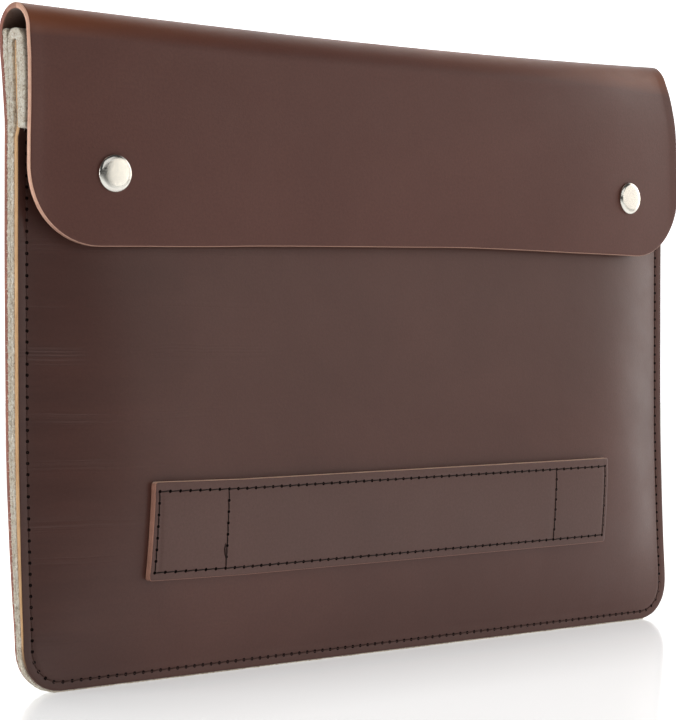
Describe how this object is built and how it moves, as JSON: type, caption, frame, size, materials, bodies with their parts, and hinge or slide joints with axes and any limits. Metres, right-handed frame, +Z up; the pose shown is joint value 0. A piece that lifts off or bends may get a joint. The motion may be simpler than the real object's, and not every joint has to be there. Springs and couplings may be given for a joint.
{
  "type": "laptop sleeve",
  "caption": "Slim leather laptop sleeve lined with felt, with a full-width flap closed by snaps and a stitched hand strap across the front.",
  "frame": {"origin": "middle of the bottom of the bounding box, on the surface that the sleeve stands on", "axes": "+Z up, +X to the right of someone looking at the front, front and flap face -Y"},
  "size_m": [0.345, 0.0361, 0.25],
  "materials": {
    "leather": "semi-gloss dark brown pull-up leather with natural tan cut edges",
    "strap_leather": "semi-gloss dark brown leather, tan cut edges",
    "felt": "light beige-grey wool felt with fine fibres",
    "thread": "waxed dark brown thread",
    "nickel": "polished nickel plate",
    "spring_steel": "bright spring wire"
  },
  "bodies": {
    "sleeve": {"back_panel": "leather", "front_panel": "leather", "back_felt": "felt", "front_felt": "felt", "snap_stud_left": "nickel", "snap_stud_right": "nickel", "stud_eyelet_left": "nickel", "stud_eyelet_right": "nickel", "strap_outer_left": "strap_leather", "strap_outer_right": "strap_leather", "strap_lining_left": "strap_leather", "strap_lining_right": "strap_leather", "strap_box_thread_left": "thread", "strap_box_thread_right": "thread", "perimeter_thread_front": "thread", "perimeter_thread_back": "thread"},
    "fold_1": {"fold_strip_1": "leather"},
    "fold_2": {"fold_strip_2": "leather"},
    "fold_3": {"fold_strip_3": "leather"},
    "fold_4": {"fold_strip_4": "leather"},
    "fold_5": {"fold_strip_5": "leather"},
    "flap": {"flap": "leather", "snap_cap_left": "nickel", "snap_cap_right": "nickel", "snap_socket_left": "nickel", "snap_socket_right": "nickel", "socket_spring_left": "spring_steel", "socket_spring_right": "spring_steel"},
    "strap": {"strap_outer_middle": "strap_leather", "strap_lining_middle": "strap_leather", "strap_edge_thread": "thread"}
  },
  "joints": [
    {"name": "flap_fold_1", "type": "hinge", "parent": "sleeve", "child": "fold_1", "pos_m": [0, 0.01223, 0.23962], "axis": [-1, 0, 0], "range_deg": [0, 30]},
    {"name": "flap_fold_2", "type": "hinge", "parent": "fold_1", "child": "fold_2", "pos_m": [0, 0.00861, 0.2459], "axis": [-1, 0, 0], "range_deg": [0, 30]},
    {"name": "flap_fold_3", "type": "hinge", "parent": "fold_2", "child": "fold_3", "pos_m": [0, 0.00233, 0.24952], "axis": [-1, 0, 0], "range_deg": [0, 30]},
    {"name": "flap_fold_4", "type": "hinge", "parent": "fold_3", "child": "fold_4", "pos_m": [0, -0.00491, 0.24952], "axis": [-1, 0, 0], "range_deg": [0, 30]},
    {"name": "flap_fold_5", "type": "hinge", "parent": "fold_4", "child": "fold_5", "pos_m": [0, -0.01119, 0.2459], "axis": [-1, 0, 0], "range_deg": [0, 30]},
    {"name": "flap_fold_6", "type": "hinge", "parent": "fold_5", "child": "flap", "pos_m": [0, -0.01481, 0.23962], "axis": [-1, 0, 0], "range_deg": [0, 30]},
    {"name": "strap_bow", "type": "slide", "parent": "sleeve", "child": "strap", "axis": [0, -1, 0], "range_m": [0, 0.015], "stiffness_N_per_m": 150}
  ],
  "couplings": [
    {"joint": "flap_fold_2", "follows": "flap_fold_1", "ratio": 1},
    {"joint": "flap_fold_3", "follows": "flap_fold_1", "ratio": 1},
    {"joint": "flap_fold_4", "follows": "flap_fold_1", "ratio": 1},
    {"joint": "flap_fold_5", "follows": "flap_fold_1", "ratio": 1},
    {"joint": "flap_fold_6", "follows": "flap_fold_1", "ratio": 1}
  ]
}
